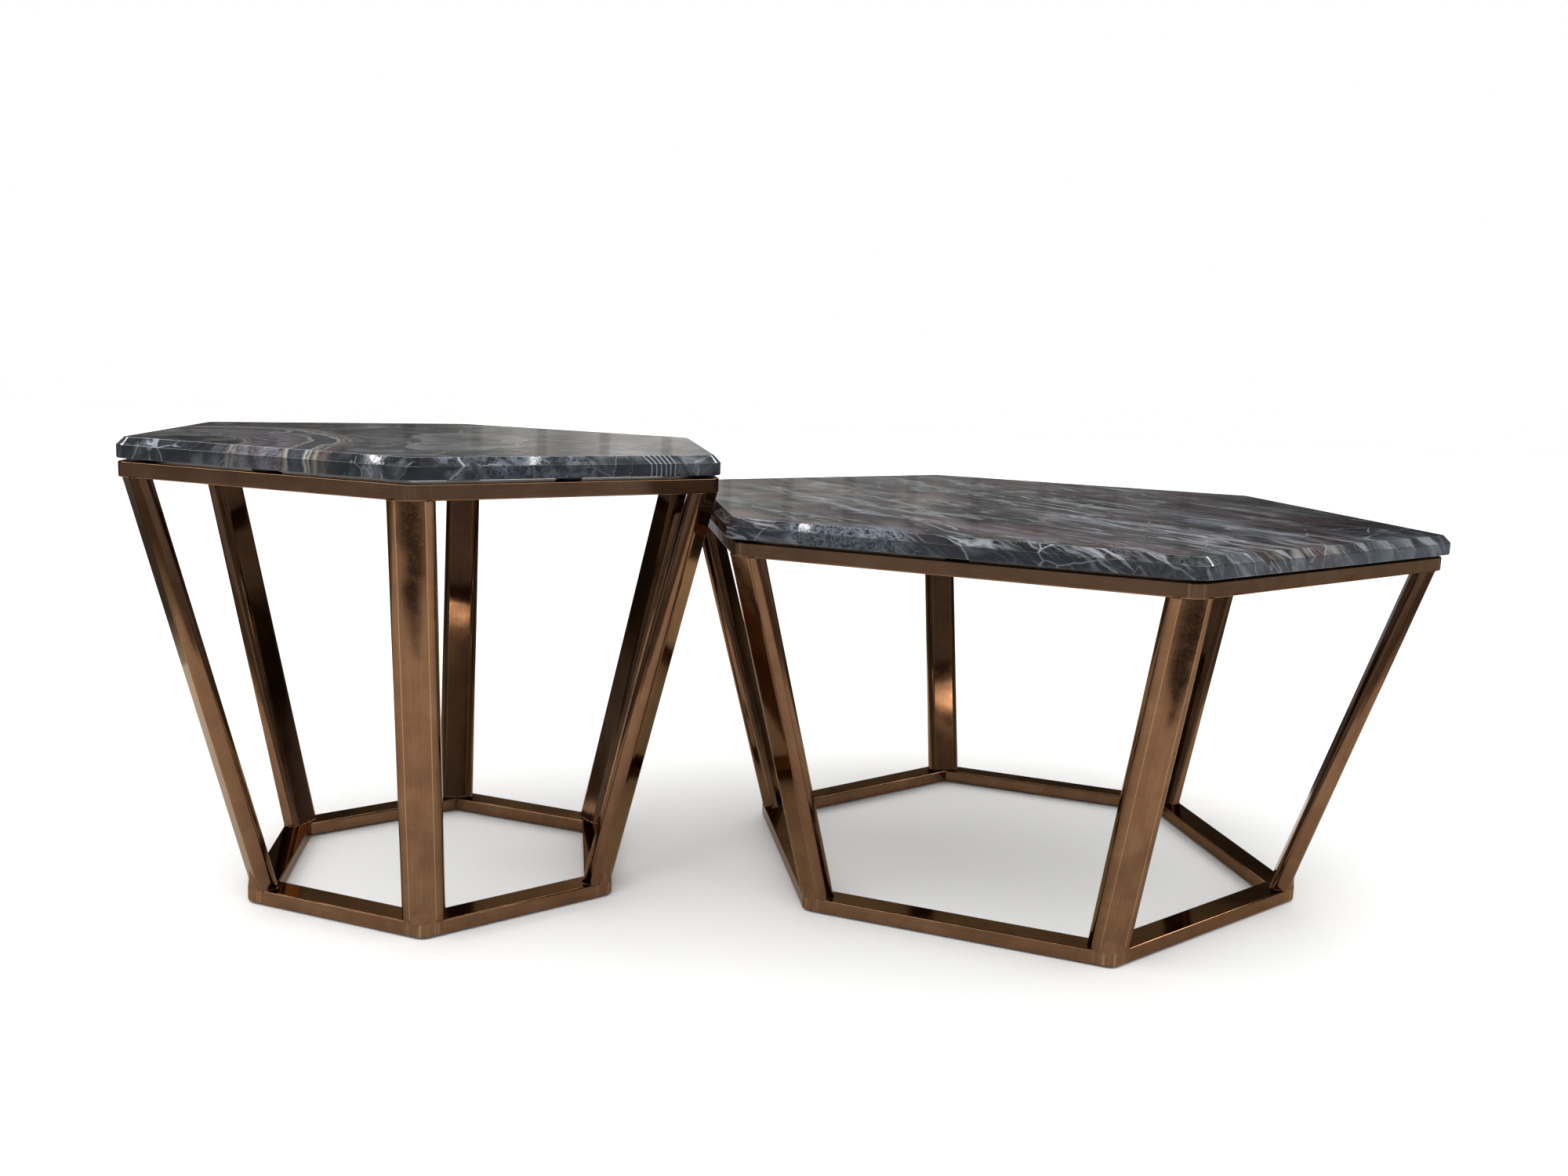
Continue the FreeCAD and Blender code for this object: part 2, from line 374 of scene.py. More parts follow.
def polished_bronze(name, centre, turn, lean=0.0, face_half=None, half_length=None):
    """Stainless steel tube with a bronze vacuum tint, mirror polished along its length.

    The eye gets a brown mirror: soft-edged reflections, faint long polishing lines, a slow
    waviness of the tube wall, and cloudy patches. A rounded tube also gets a painted highlight
    along the line where each corner radius starts and painted shade over the corners beyond it,
    and a mitred one has cross-polished patches at its ends, rougher and painted lighter as a
    highlight.
    """
    material, tree = new_material(name)
    coords = add(tree, "TexCoord").outputs["Object"]
    local = add(tree, "Mapping", {"Vector": coords, "Location": centre, "Rotation": (0.0, 0.0, turn)},
        vector_type="TEXTURE")
    along = add(tree, "Mapping", {"Vector": local, "Rotation": (0.0, lean, 0.0),
        "Scale": (60.0, 1.0, 1.0)}, vector_type="TEXTURE")
    lines = add(tree, "TexNoise", {"Vector": along, "Scale": per_mm(1.2), "Detail": 3.0,
        "Roughness": 0.6})
    clouds = add(tree, "TexNoise", {"Vector": coords, "Scale": per_mm(38.0), "Detail": 5.0,
        "Roughness": 0.6, "Distortion": 0.4})
    specks = add(tree, "TexNoise", {"Vector": coords, "Scale": per_mm(2.5), "Detail": 5.0,
        "Roughness": 0.7})
    tint = add(tree, "ValToRGB", {"Fac": clouds}, stops=[(0.32, BRONZE_DARK), (0.50, BRONZE),
        (0.70, BRONZE_LIGHT)])
    streak = add(tree, "MapRange", {"Value": lines, 1: 0.35, 2: 0.65, 3: 0.88, 4: 1.06})
    colour = add(tree, "Mix", {0: 1.0, 6: tint, 7: streak}, data_type="RGBA",
        blend_type="MULTIPLY").outputs[2]
    haze = add(tree, "MapRange", {"Value": clouds, 1: 0.3, 2: 0.7, 3: 0.06, 4: 0.11})
    dust = add(tree, "MapRange", {"Value": specks, 1: 0.5, 2: 0.8, 3: 0.0, 4: 0.06})
    rough = add(tree, "Math", {0: haze, 1: dust}, operation="ADD")
    parts = add(tree, "SeparateXYZ", {"Vector": local})
    if face_half is not None:
        # Painted highlight: a thin lighter line where each corner radius starts, broken up by specks,
        # then painted shade over the rounded corners beyond it.
        side = add(tree, "Math", {0: parts.outputs["Y"]}, operation="ABSOLUTE")
        off = add(tree, "Math", {0: side, 1: face_half, 2: 0.35 * MM}, operation="COMPARE")
        highlight_breakup = add(tree, "MapRange", {"Value": specks, 1: 0.3, 2: 0.6, 3: 0.45, 4: 1.0})
        line = add(tree, "Math", {0: off, 1: highlight_breakup}, operation="MULTIPLY")
        colour = coat(tree, colour, BRONZE_PAINTED_HIGHLIGHT, line, 0.7)
        corner_painted_shade = add(tree, "MapRange", {"Value": side, 1: face_half + 1.5 * MM, 2: face_half + 7 * MM,
            3: 0.0, 4: 0.25})
        colour = coat(tree, colour, BRONZE_PAINTED_SHADE, corner_painted_shade)
    if half_length is not None:
        # Cross-polished patches at the mitred ends: rougher, and painted lighter in upright strokes as
        # a highlight.
        run = add(tree, "Math", {0: parts.outputs["X"]}, operation="ABSOLUTE")
        end = add(tree, "MapRange", {"Value": run, 1: half_length - 26 * MM, 2: half_length - 8 * MM},
            interpolation_type="SMOOTHSTEP")
        upright = add(tree, "Mapping", {"Vector": local, "Scale": (1.0, 1.0, 25.0)},
            vector_type="TEXTURE")
        strokes = add(tree, "TexNoise", {"Vector": upright, "Scale": per_mm(3.0), "Detail": 4.0})
        stroke = add(tree, "MapRange", {"Value": strokes, 1: 0.50, 2: 0.68, 3: 0.0, 4: 0.55})
        cross = add(tree, "Math", {0: stroke, 1: end}, operation="MULTIPLY")
        colour = coat(tree, colour, BRONZE_PAINTED_HIGHLIGHT, cross)
        rough = add(tree, "Math", {0: cross, 1: 0.18, 2: rough}, operation="MULTIPLY_ADD")
    wave = add(tree, "TexNoise", {"Vector": coords, "Scale": per_mm(60.0), "Detail": 1.5})
    wavy = add(tree, "Bump", {"Height": wave, "Strength": 0.25, "Distance": 1.2 * MM})
    fine = add(tree, "Bump", {"Height": lines, "Strength": 0.12, "Distance": 0.02 * MM, "Normal": wavy})
    shade = add(tree, "BsdfPrincipled", {"Base Color": colour, "Metallic": 1.0,
        "Specular Tint": linear(BRONZE_EDGE_ON), "Roughness": rough, "Normal": fine})
    add(tree, "OutputMaterial", {"Surface": shade})
    return material


def ground_weld():
    """Weld metal ground flush and polished with the tube: a little rougher and cloudier."""
    material, tree = new_material("ground_bronze_weld")
    coords = add(tree, "TexCoord").outputs["Object"]
    cloud = add(tree, "TexNoise", {"Vector": coords, "Scale": per_mm(7.0), "Detail": 4.0})
    tint = add(tree, "ValToRGB", {"Fac": cloud}, stops=[(0.35, BRONZE_DARK), (0.55, BRONZE),
        (0.75, BRONZE_LIGHT)])
    rough = add(tree, "MapRange", {"Value": cloud, 1: 0.3, 2: 0.7, 3: 0.12, 4: 0.22})
    bump = add(tree, "Bump", {"Height": cloud, "Strength": 0.08, "Distance": 0.15 * MM})
    shade = add(tree, "BsdfPrincipled", {"Base Color": tint, "Metallic": 1.0,
        "Specular Tint": linear(BRONZE_EDGE_ON), "Roughness": rough, "Normal": bump})
    add(tree, "OutputMaterial", {"Surface": shade})
    return material


def black_rubber():
    """Moulded black rubber: matt and faintly grainy."""
    material, tree = new_material("moulded_black_rubber")
    coords = add(tree, "TexCoord").outputs["Object"]
    grain = add(tree, "TexNoise", {"Vector": coords, "Scale": per_mm(0.8), "Detail": 4.0})
    tone = add(tree, "ValToRGB", {"Fac": grain}, stops=[(0.35, "#111112"), (0.7, "#1d1d1f")])
    bump = add(tree, "Bump", {"Height": grain, "Strength": 0.4, "Distance": 0.1 * MM})
    shade = add(tree, "BsdfPrincipled", {"Base Color": tone, "Roughness": 0.72, "IOR": 1.52,
        "Normal": bump})
    add(tree, "OutputMaterial", {"Surface": shade})
    return material


def brown_felt():
    """Pressed wool felt: matted fibres with a soft sheen, mid brown."""
    material, tree = new_material("pressed_brown_felt")
    coords = add(tree, "TexCoord").outputs["Object"]
    fibres = add(tree, "TexNoise", {"Vector": coords, "Scale": per_mm(0.5), "Detail": 6.0,
        "Roughness": 0.7, "Distortion": 1.5})
    tone = add(tree, "ValToRGB", {"Fac": fibres}, stops=[(0.3, "#2e2620"), (0.5, "#4a3d33"),
        (0.75, "#6a5a4c")])
    bump = add(tree, "Bump", {"Height": fibres, "Strength": 0.8, "Distance": 0.3 * MM})
    shade = add(tree, "BsdfPrincipled", {"Base Color": tone, "Roughness": 0.95, "Sheen Weight": 0.4,
        "Normal": bump})
    add(tree, "OutputMaterial", {"Surface": shade})
    return material


def coat(tree, ground, colour, *covers):
    """Lay a colour over the ground as far as all of its coverages allow."""
    cover = covers[0]
    for other in covers[1:]:
        cover = add(tree, "Math", {0: cover, 1: other}, operation="MULTIPLY")
    return add(tree, "Mix", {0: cover, 6: ground, 7: linear(colour)}, data_type="RGBA").outputs[2]


def from_centre(tree, centre):
    """The stone's own coordinates, counted from the middle of its upper face."""
    coords = add(tree, "TexCoord").outputs["Object"]
    return add(tree, "Mapping", {"Vector": coords, "Location": centre}, vector_type="TEXTURE")


def folded(tree, space, size, push, seed=0.0):
    """The space folded by waves of the given size, pushed about by up to the given millimetres."""
    noise = add(tree, "TexNoise", {"Vector": space, "W": seed, "Scale": per_mm(size), "Detail": 2.0,
        "Roughness": 0.55}, noise_dimensions="4D")
    reach = 4.0 * push * MM
    shift = add(tree, "VectorMath", {0: noise.outputs["Color"], 1: (0.5, 0.5, 0.5)},
        operation="SUBTRACT")
    return add(tree, "VectorMath", {0: shift, 1: (reach, reach, reach), 2: space},
        operation="MULTIPLY_ADD")


def laid(tree, space, turn, dip, stretch, sheet=1.0):
    """The space turned to lie with the bedding of the stone, stretched along and down its sheets."""
    return add(tree, "Mapping", {"Vector": space, "Scale": (stretch, sheet, 1.0),
        "Rotation": (math.radians(dip), 0.0, math.radians(turn))}, vector_type="TEXTURE")


def patches(tree, space, size, low, high, seed=0.0, detail=3.0):
    """Cloudy patches of a size, from bare below the low mark to full above the high one."""
    noise = add(tree, "TexNoise", {"Vector": space, "W": seed, "Scale": per_mm(size), "Detail": detail,
        "Roughness": 0.6}, noise_dimensions="4D")
    return add(tree, "MapRange", {"Value": noise, 1: low, 2: high}, interpolation_type="SMOOTHSTEP")


def cracks(tree, space, size, width):
    """Healed cracks: a net of lines of a width around grains of a size, in millimetres."""
    net = add(tree, "TexVoronoi", {"Vector": space, "Scale": per_mm(size)}, feature="DISTANCE_TO_EDGE")
    return add(tree, "MapRange", {"Value": net.outputs["Distance"], 1: 0.0, 2: width / size, 3: 1.0,
        4: 0.0}, interpolation_type="SMOOTHSTEP")


def threads(tree, space, size, width, seed=0.0, detail=2.0):
    """Thin wandering threads, where waves of a size pass through their middle."""
    noise = add(tree, "TexNoise", {"Vector": space, "W": seed, "Scale": per_mm(size), "Detail": detail,
        "Roughness": 0.5}, noise_dimensions="4D")
    middle = add(tree, "Math", {0: noise, 1: 0.5}, operation="SUBTRACT")
    off = add(tree, "Math", {0: middle}, operation="ABSOLUTE")
    return add(tree, "MapRange", {"Value": off, 1: 0.0, 2: width / size, 3: 1.0, 4: 0.0},
        interpolation_type="SMOOTHSTEP")


def away_from(tree, space, place, half=(1000.0, 1000.0, 1000.0)):
    """Distance in metres from a place in millimetres, or counted in half sizes where given."""
    offset = add(tree, "Mapping", {"Vector": space, "Location": [v * MM for v in place],
        "Scale": [v * MM for v in half]}, vector_type="TEXTURE")
    return add(tree, "VectorMath", {0: offset}, operation="LENGTH").outputs["Value"]


def zone(tree, space, place, half, soft=0.35):
    """A soft-edged zone around a place, full inside and bare from its half sizes outwards."""
    return add(tree, "MapRange", {"Value": away_from(tree, space, place, half), 1: 1.0 - soft, 2: 1.0,
        3: 1.0, 4: 0.0}, interpolation_type="SMOOTHSTEP")


def bands(tree, reach, start, end, stops):
    """Coloured bands over a distance in millimetres; a stop is (place, colour, coverage)."""
    share = add(tree, "MapRange", {"Value": reach, 1: start * MM, 2: end * MM})
    colours = [((place - start) / (end - start), linear(code)[:3] + (cover,)) for place, code,
        cover in stops]
    ramp = add(tree, "ValToRGB", {"Fac": share}, stops=colours)
    return ramp.outputs["Color"], ramp.outputs["Alpha"]


def square_to_sides(tree, space):
    """Distance from the middle of a hexagonal slab, counted square to its nearest side."""
    reach = 0.0
    for k in range(3):
        turn = FRONT + SECTOR * (k + 0.5)
        outward = (math.cos(turn), math.sin(turn), 0.0)
        along = add(tree, "VectorMath", {0: space, 1: outward}, operation="DOT_PRODUCT")
        off = add(tree, "Math", {0: along.outputs["Value"]}, operation="ABSOLUTE")
        reach = add(tree, "Math", {0: off, 1: reach}, operation="MAXIMUM")
    return reach


def polished(tree, colour, wear, space, ring_reach):
    """Close a marble: mirror polish above, faint hollows where it is soft, sawn and dull below.

    The underside shows the pattern faintly under saw marks, and has painted shade along its
    rim, where the ring lies close below. Upright edges and bevels get painted shade too.
    """
    sides = add(tree, "TexCoord")
    facing = add(tree, "SeparateXYZ", {"Vector": sides.outputs["Normal"]})
    sawn = add(tree, "MapRange", {"Value": facing.outputs["Z"], 1: -0.6, 2: -0.9})
    # Painted shade: the more upright a face stands, the darker the stone is painted.
    upright = add(tree, "MapRange", {"Value": facing.outputs["Z"], 1: 0.95, 2: 0.3, 3: 0.0, 4: 0.70})
    shaded = coat(tree, colour, "#08090b", upright)
    inside = add(tree, "MapRange", {"Value": square_to_sides(tree, space), 1: (ring_reach - 9.0) * MM,
        2: ring_reach * MM, 3: 1.0, 4: 0.0}, interpolation_type="SMOOTHSTEP")
    marks = laid(tree, folded(tree, space, 200.0, 3.0, seed=61.0), 12.0, 0.0, 40.0)
    sawing = patches(tree, marks, 1.6, 0.40, 0.62, seed=63.0)
    stains = patches(tree, space, 70.0, 0.42, 0.64, seed=65.0, detail=6.0)
    underside = coat(tree, coat(tree, colour, "#97979a", 0.72), "#7c7c80", sawing, 0.6)
    underside = coat(tree, underside, "#8a8279", stains, 0.35)
    # Painted shade along the underside's rim, where the ring lies close below.
    rim = coat(tree, colour, "#17171a", 0.78)
    dull = coat(tree, shaded, coat(tree, rim, underside, inside), sawn)
    gloss = add(tree, "MapRange", {"Value": wear, 3: 0.014, 4: 0.04})
    rough = add(tree, "Mix", {0: sawn, 2: gloss, 3: 0.85}, data_type="FLOAT")
    bump = add(tree, "Bump", {"Height": wear, "Strength": 0.10, "Distance": 0.05 * MM})
    shade = add(tree, "BsdfPrincipled", {"Base Color": dull, "Roughness": rough, "IOR": 1.5,
        "Normal": bump})
    add(tree, "OutputMaterial", {"Surface": shade})


def ground_of(tree, space, dark, middle, light, size):
    """The body of the stone: dark clouds with a fine grain."""
    cloud = add(tree, "TexNoise", {"Vector": space, "Scale": per_mm(size), "Detail": 8.0,
        "Roughness": 0.62, "Distortion": 0.4})
    return add(tree, "ValToRGB", {"Fac": cloud}, stops=[(0.34, dark), (0.50, middle),
        (0.68, light)]).outputs["Color"]


def small_marble(centre):
    """Black marble, cut and mirror polished, with a swirl of cream, lilac and rust bands.

    The eye gets a near-black body with smoky clouds and grey loops, hair-fine white cracks that
    fork, a curved band of stripes across the left half, and a dense pale scribble along the
    front right edge.
    """
    material, tree = new_material("polished_swirl_marble")
    space = from_centre(tree, centre)
    soft = folded(tree, space, 120.0, 14.0)
    sharp = folded(tree, soft, 22.0, 2.6, seed=3.0)
    fine = folded(tree, sharp, 5.0, 0.9, seed=5.0)
    colour = ground_of(tree, sharp, "#0f1014", "#1f2126", "#3c3e45", 70.0)

    # Smoke and grey loops, drawn out along the bedding.
    bedding = laid(tree, soft, 74.0, 24.0, 5.0)
    smoke = patches(tree, bedding, 26.0, 0.46, 0.62, seed=1.0, detail=7.0)
    colour = coat(tree, colour, "#7b7c80", smoke, 0.70)
    colour = coat(tree, colour, "#0c0d10", patches(tree, soft, 95.0, 0.50, 0.60, seed=43.0), 0.60)
    loops = laid(tree, folded(tree, space, 160.0, 38.0, seed=31.0), 60.0, 0.0, 2.2)
    looped = threads(tree, loops, 70.0, 9.0, seed=33.0, detail=3.0)
    colour = coat(tree, colour, "#858790", looped, patches(tree, soft, 70.0, 0.44, 0.60, 35.0), 0.55)
    colour = coat(tree, colour, "#0e0f13", threads(tree, loops, 52.0, 3.5, seed=37.0), 0.75)

    # Scribble along the front right edge.
    scribble = zone(tree, sharp, (104.0, -282.0, -8.0), (150.0, 70.0, 60.0))
    colour = coat(tree, colour, "#121419", scribble, 0.9)
    lace = threads(tree, fine, 11.0, 1.1, seed=7.0, detail=4.0)
    knots = cracks(tree, fine, 6.0, 0.9)
    pebbled = add(tree, "Math", {0: lace, 1: knots}, operation="MAXIMUM")
    colour = coat(tree, colour, "#838b98", pebbled, scribble, patches(tree, sharp, 22.0, 0.44, 0.62,
        seed=9.0), 0.62)
    blooms = patches(tree, fine, 14.0, 0.54, 0.66, seed=39.0, detail=6.0)
    colour = coat(tree, colour, "#5e6570", blooms, scribble, 0.55)

    # Pale lobe with a black rim right of the middle.
    pushed = folded(tree, folded(tree, space, 130.0, 34.0, seed=45.0), 24.0, 4.0, seed=47.0)
    lobe, rim = bands(tree, away_from(tree, pushed, (30.0, -70.0, 0.0), (60.0, 190.0, 300.0)), 0.0,
        1200.0, [(0.0, "#77787b", 0.35), (700.0, "#8a8b8c", 0.45), (930.0, "#a2a2a0", 0.55),
        (975.0, "#0d0e11", 0.85), (1060.0, "#14151a", 0.7), (1200.0, "#1b1c20", 0.0)])
    colour = coat(tree, colour, lobe, rim, patches(tree, soft, 55.0, 0.38, 0.52, seed=49.0))

    # Swirl in the left half: nested ovals of stripes, counted in thousandths of the outermost.
    curved = folded(tree, folded(tree, space, 80.0, 7.0, seed=11.0), 9.0, 0.9, seed=41.0)
    reach = away_from(tree, curved, (-215.0, -200.0, 0.0), (150.0, 307.0, 300.0))
    stripes, cover = bands(tree, reach, 270.0, 1080.0, [(270.0, "#26272c", 0.0),
        (310.0, "#5c5d63", 0.6), (326.0, "#a89e90", 0.9), (345.0, "#4d463f", 0.9),
        (362.0, "#8b8075", 0.85), (380.0, "#4a4543", 0.8), (430.0, "#6f6d76", 0.85),
        (500.0, "#58423f", 0.7), (560.0, "#74727c", 0.85), (640.0, "#5e5c64", 0.85),
        (675.0, "#58403d", 0.8), (702.0, "#b3ada4", 0.95), (718.0, "#1f222a", 0.9),
        (760.0, "#434a57", 0.8), (830.0, "#2f343e", 0.85), (851.0, "#c9c7c2", 0.95),
        (864.0, "#4b4946", 0.9), (876.0, "#b5b0a8", 0.9), (888.0, "#17181c", 0.95),
        (915.0, "#a3988b", 0.9), (930.0, "#4d4440", 0.85), (965.0, "#6b5c55", 0.75),
        (1000.0, "#24252a", 0.6), (1080.0, "#1f2126", 0.0)])
    grit = patches(tree, fine, 3.0, 0.35, 0.70, seed=13.0, detail=4.0)
    inside = add(tree, "MapRange", {"Value": reach, 1: 0.67, 2: 0.70, 3: 1.0, 4: 0.25})
    mottled = coat(tree, stripes, "#a6a3ab", grit, inside, 0.55)
    mottled = coat(tree, mottled, "#3b3539", patches(tree, fine, 12.0, 0.48, 0.60, seed=15.0), inside,
        0.75)
    flank = add(tree, "SeparateXYZ", {"Vector": sharp})
    short = add(tree, "MapRange", {"Value": flank.outputs["X"], 1: -0.222, 2: -0.204},
        interpolation_type="SMOOTHSTEP")
    rear = add(tree, "MapRange", {"Value": flank.outputs["Y"], 1: -0.150, 2: -0.120})
    kept = add(tree, "Math", {0: short, 1: rear}, operation="MAXIMUM")
    colour = coat(tree, colour, mottled, cover, kept)

    # Stack of thin pale stripes near the right end of the front right edge.
    stack = away_from(tree, folded(tree, space, 30.0, 1.4, seed=17.0), (186.0, -240.0, -14.0))
    lines = add(tree, "Math", {0: stack, 1: 2.7 * MM}, operation="PINGPONG")
    line = add(tree, "MapRange", {"Value": lines, 1: 0.35 * MM, 2: 0.85 * MM, 3: 1.0, 4: 0.0})
    held = bands(tree, stack, 38.0, 76.0, [(38.0, "#ffffff", 0.0), (43.0, "#ffffff", 0.9),
        (70.0, "#ffffff", 0.9), (74.0, "#ffffff", 0.0)])[1]
    near = zone(tree, space, (236.0, -200.0, 0.0), (50.0, 44.0, 60.0))
    colour = coat(tree, colour, "#2c3038", held, near)
    colour = coat(tree, colour, "#b9bcc1", line, held, near)

    # Forked white cracks, bold ones and hair-fine ones, thickest at the left corner.
    left_corner = zone(tree, sharp, (-262.0, -184.0, -6.0), (52.0, 44.0, 60.0))
    colour = coat(tree, colour, "#aeb4bd", cracks(tree, fine, 30.0, 1.1), left_corner,
        patches(tree, sharp, 20.0, 0.40, 0.52, seed=51.0), 0.85)
    colour = coat(tree, colour, "#b9bdc2", cracks(tree, sharp, 118.0, 1.5),
        patches(tree, soft, 70.0, 0.48, 0.58, seed=19.0), 0.8)
    colour = coat(tree, colour, "#a0a5ad", cracks(tree, fine, 46.0, 0.6),
        patches(tree, soft, 40.0, 0.47, 0.60, seed=21.0), 0.75)
    colour = coat(tree, colour, "#a8997a", threads(tree, sharp, 130.0, 1.0, seed=23.0),
        zone(tree, sharp, (150.0, 110.0, 0.0), (200.0, 130.0, 60.0)), 0.7)
    polished(tree, colour, grit, space, SMALL_RIM)
    return material


def large_marble(centre):
    """Black marble with a brown cast, cut and mirror polished, bedded like driftwood.

    The eye gets long thin pale streaks along the bedding over smoky brown-black, a pebbled
    blue-grey patch at the left of the front edge, a pitted corner, and upright bands of grey,
    rust, rose and olive along the front right edge.
    """
    material, tree = new_material("polished_streaked_marble")
    space = from_centre(tree, centre)
    soft = folded(tree, space, 150.0, 16.0, seed=2.0)
    sharp = folded(tree, soft, 26.0, 2.4, seed=4.0)
    fine = folded(tree, sharp, 6.0, 1.0, seed=6.0)
    bedding = laid(tree, soft, -70.0, -47.0, 8.0, sheet=4.0)
    crossed = laid(tree, sharp, -66.0, -47.0, 14.0, sheet=7.0)
    colour = ground_of(tree, bedding, "#111116", "#26242a", "#474147", 40.0)

    smoke = patches(tree, bedding, 24.0, 0.46, 0.60, seed=8.0, detail=8.0)
    colour = coat(tree, colour, "#75706f", smoke, 0.62)
    colour = coat(tree, colour, "#63474a", patches(tree, soft, 120.0, 0.48, 0.62, seed=10.0), 0.50)
    blue = patches(tree, bedding, 30.0, 0.55, 0.66, seed=12.0, detail=8.0)
    colour = coat(tree, colour, "#8c95a3", blue, 0.50)
    colour = coat(tree, colour, "#84837b", zone(tree, soft, (-230.0, 60.0, 0.0), (170.0, 210.0, 90.0)),
        patches(tree, soft, 60.0, 0.42, 0.56, seed=34.0), 0.5)
    colour = coat(tree, colour, "#0d0d11", patches(tree, bedding, 17.0, 0.56, 0.66, seed=32.0), 0.75)

    # Painted shade: the top darker towards the front right.
    shadow = zone(tree, soft, (300.0, -40.0, 0.0), (270.0, 330.0, 300.0), soft=0.7)
    colour = coat(tree, colour, "#131217", shadow, 0.55)

    # Upright bands along the front right edge, counted along it from the front corner.
    edge = laid(tree, folded(tree, space, 50.0, 6.0, seed=14.0), 30.0, 0.0, 1.0)
    along = add(tree, "SeparateXYZ", {"Vector": edge})
    run = add(tree, "Math", {0: along.outputs["X"], 1: 0.225}, operation="ADD")
    banded, cover = bands(tree, run, 0.0, 450.0, [(0.0, "#3f4246", 0.9), (20.0, "#565a5f", 0.9),
        (30.0, "#303338", 0.9), (50.0, "#4b4e54", 0.9), (60.0, "#65686d", 0.9), (85.0, "#3e3f44", 0.9),
        (90.0, "#42302c", 0.9), (120.0, "#4b4037", 0.9), (135.0, "#2b2625", 0.9),
        (155.0, "#81776b", 0.9), (160.0, "#201f22", 0.9), (180.0, "#574443", 0.9),
        (200.0, "#4b3131", 0.9), (220.0, "#3d3b2e", 0.9), (250.0, "#2c3037", 0.7),
        (280.0, "#363c45", 0.6), (320.0, "#8d9297", 0.7), (325.0, "#262a32", 0.6),
        (365.0, "#868c92", 0.7), (370.0, "#2b2f37", 0.5), (450.0, "#40444c", 0.3)])
    side = add(tree, "MapRange", {"Value": along.outputs["Y"], 1: -0.385, 2: -0.345, 3: 1.0, 4: 0.0},
        interpolation_type="SMOOTHSTEP")
    colour = coat(tree, colour, banded, cover, side)
    comb = patches(tree, laid(tree, fine, -60.0, 0.0, 14.0), 4.0, 0.5, 0.7, seed=16.0)
    colour = coat(tree, colour, "#7f8489", comb, side, 0.35)

    # Dark front left edge with streaks, and its pebbled patch.
    left_edge = add(tree, "SeparateXYZ", {"Vector": laid(tree, sharp, -30.0, 0.0, 1.0)})
    left_side = add(tree, "MapRange", {"Value": left_edge.outputs["Y"], 1: -0.384, 2: -0.362, 3: 1.0,
        4: 0.0}, interpolation_type="SMOOTHSTEP")
    colour = coat(tree, colour, "#0f1217", left_side, 0.80)
    colour = coat(tree, colour, "#7d8793", patches(tree, crossed, 9.0, 0.57, 0.66, seed=36.0),
        left_side, 0.5)
    pebble_zone = zone(tree, sharp, (-290.0, -290.0, -10.0), (84.0, 52.0, 70.0), soft=0.25)
    knots = add(tree, "TexNoise", {"Vector": fine, "Scale": per_mm(7.0), "Detail": 5.0,
        "Roughness": 0.65, "Distortion": 2.2})
    pebbles = add(tree, "ValToRGB", {"Fac": knots}, stops=[(0.36, "#15171d"), (0.47, "#343a43"),
        (0.54, "#7a828b"), (0.62, "#4d545d"), (0.70, "#9aa2a8")])
    colour = coat(tree, colour, pebbles, pebble_zone, 0.9)

    # Pitted corner at the front with a green cast.
    corner = zone(tree, sharp, (-10.0, -440.0, -8.0), (44.0, 26.0, 60.0))
    green = patches(tree, fine, 5.0, 0.35, 0.65, seed=18.0)
    mossy = coat(tree, linear("#24272a"), "#4f5552", green)
    colour = coat(tree, colour, mossy, corner, 0.9)
    pits = add(tree, "TexVoronoi", {"Vector": sharp, "Scale": per_mm(9.0)}, feature="F1")
    pit = add(tree, "MapRange", {"Value": pits.outputs["Distance"], 1: 0.10, 2: 0.22, 3: 1.0, 4: 0.0})
    colour = coat(tree, colour, "#131516", pit, corner)

    # Long pale streaks along the bedding, then forked white cracks.
    colour = coat(tree, colour, "#a9adb2", threads(tree, bedding, 46.0, 1.5, seed=38.0, detail=4.0),
        patches(tree, soft, 90.0, 0.46, 0.58, seed=40.0), 0.6)
    colour = coat(tree, colour, "#b6bbc2", threads(tree, crossed, 17.0, 0.45, seed=20.0, detail=4.0),
        patches(tree, bedding, 60.0, 0.48, 0.62, seed=22.0), 0.75)
    colour = coat(tree, colour, "#969ba3", threads(tree, crossed, 8.0, 0.35, seed=24.0, detail=3.0),
        patches(tree, soft, 45.0, 0.5, 0.66, seed=26.0), 0.5)
    colour = coat(tree, colour, "#aeb3b8", cracks(tree, sharp, 95.0, 1.0),
        patches(tree, soft, 60.0, 0.50, 0.60, seed=28.0), 0.7)
    colour = coat(tree, colour, "#9ea4ac", cracks(tree, fine, 34.0, 0.5),
        patches(tree, soft, 36.0, 0.50, 0.62, seed=30.0), 0.6)
    polished(tree, colour, green, space, LARGE_RIM)
    return material


# ---------------------------------------------------------------- grown pieces

def new_geometry_tree(name, lengths):
    """An empty geometry tree with one named length for each input, and a material."""
    tree = bpy.data.node_groups.new(name, "GeometryNodeTree")
    tree.interface.new_socket("Geometry", in_out="OUTPUT", socket_type="NodeSocketGeometry")
    for length in lengths:
        tree.interface.new_socket(length, in_out="INPUT", socket_type="NodeSocketFloat")
    tree.interface.new_socket("Finish", in_out="INPUT", socket_type="NodeSocketMaterial")
    return tree, tree.nodes.new("NodeGroupInput").outputs


